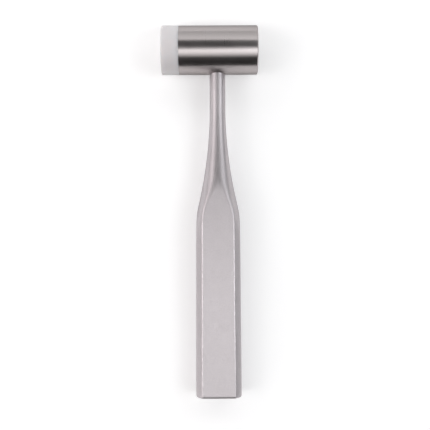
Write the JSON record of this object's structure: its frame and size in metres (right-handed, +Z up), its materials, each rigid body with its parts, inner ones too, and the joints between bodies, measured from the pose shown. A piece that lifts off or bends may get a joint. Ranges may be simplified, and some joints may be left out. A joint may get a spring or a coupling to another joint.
{
  "type": "surgical mallet",
  "caption": "Bone mallet with a turned steel head, a screwed-in nylon striking face and a hollow eight-sided steel handle on a thin round neck.",
  "frame": {"origin": "centre of the bounding box at the surface that the mallet lies on", "axes": "+Y from the butt towards the head, +X along the head's axis towards the steel striking face, +Z up from the surface"},
  "size_m": [0.0492, 0.1914, 0.025],
  "materials": {
    "turned_steel": "fine turned, bright",
    "satin_steel": "bead blasted, satin",
    "white_nylon": "fine turned, slightly translucent"
  },
  "bodies": {
    "root": {"head": "turned_steel", "nylon_face": "white_nylon", "handle_shell": "satin_steel", "butt_plate": "satin_steel", "neck_stud": "turned_steel"}
  },
  "joints": []
}
